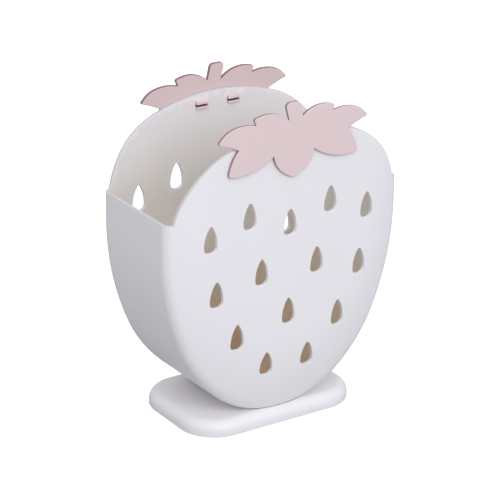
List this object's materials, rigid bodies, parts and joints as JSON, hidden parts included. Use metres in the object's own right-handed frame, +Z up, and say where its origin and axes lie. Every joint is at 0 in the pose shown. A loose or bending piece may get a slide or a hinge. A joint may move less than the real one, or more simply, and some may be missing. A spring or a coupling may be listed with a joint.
{
  "type": "cutlery holder",
  "caption": "Fruit-shaped standing cutlery holder: deep slotted holder with arched front and back panels, clip-on leaf trims and a lift-off drip tray.",
  "frame": {"origin": "middle of the drip tray's underside, on the table", "axes": "+X to the right seen from the front, +Y from the front panel to the back panel, +Z up"},
  "size_m": [0.1632, 0.086, 0.2037],
  "materials": {
    "white_plastic": "satin white moulded polypropylene",
    "pink_plastic": "satin dusty pink moulded polypropylene"
  },
  "bodies": {
    "tray": {"drip_tray": "white_plastic"},
    "holder": {"holder_body": "white_plastic", "front_leaf": "pink_plastic", "rear_leaf": "pink_plastic"}
  },
  "joints": [
    {"name": "holder_lift", "type": "slide", "parent": "tray", "child": "holder", "axis": [0, 0, 1], "range_m": [0, 0.06]}
  ]
}
